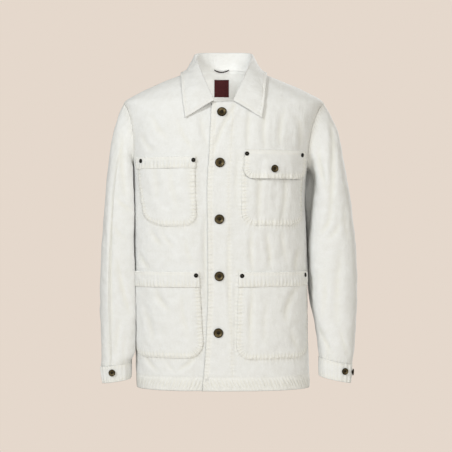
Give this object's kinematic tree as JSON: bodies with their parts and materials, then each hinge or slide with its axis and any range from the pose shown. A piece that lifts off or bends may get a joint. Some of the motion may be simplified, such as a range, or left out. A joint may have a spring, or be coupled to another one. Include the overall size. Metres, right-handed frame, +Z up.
{
  "type": "work jacket",
  "caption": "White cotton work jacket with a turn-down collar, patch pockets and a metal-buttoned front, buttoned up and filled out with no wearer.",
  "frame": {"origin": "midway between the shoulder seams, where the wearer's shoulders hold the jacket, 690 mm above the hem", "axes": "+Z up, -Y the way the buttoned front faces, +X towards the wearer's left sleeve"},
  "size_m": [0.5753, 0.2514, 0.7551],
  "materials": {
    "cotton": "washed matte twill",
    "aged_brass": "aged, satin",
    "dark_metal": "blackened",
    "burgundy_weave": "plain weave, bare"
  },
  "bodies": {
    "root": {"front_left": "cotton", "front_right": "cotton", "back": "cotton", "sleeve_left": "cotton", "sleeve_right": "cotton", "cuff_left": "cotton", "cuff_right": "cotton", "collar": "cotton", "pocket_chest_left": "cotton", "pocket_chest_right": "cotton", "pocket_hip_left": "cotton", "pocket_hip_right": "cotton", "band_chest_right": "cotton", "band_hip_left": "cotton", "band_hip_right": "cotton", "flap_chest_left": "cotton", "button_front_1": "aged_brass", "button_front_2": "aged_brass", "button_front_3": "aged_brass", "button_front_4": "aged_brass", "button_front_5": "aged_brass", "button_flap": "aged_brass", "button_cuff_left": "aged_brass", "button_cuff_left_spare": "aged_brass", "button_cuff_right": "aged_brass", "rivet_chest_left_in": "dark_metal", "rivet_chest_left_out": "dark_metal", "rivet_chest_right_in": "dark_metal", "rivet_chest_right_out": "dark_metal", "rivet_hip_left_in": "dark_metal", "rivet_hip_left_out": "dark_metal", "rivet_hip_right_in": "dark_metal", "rivet_hip_right_out": "dark_metal", "neck_label": "burgundy_weave", "hanger_loop": "burgundy_weave"}
  },
  "joints": []
}
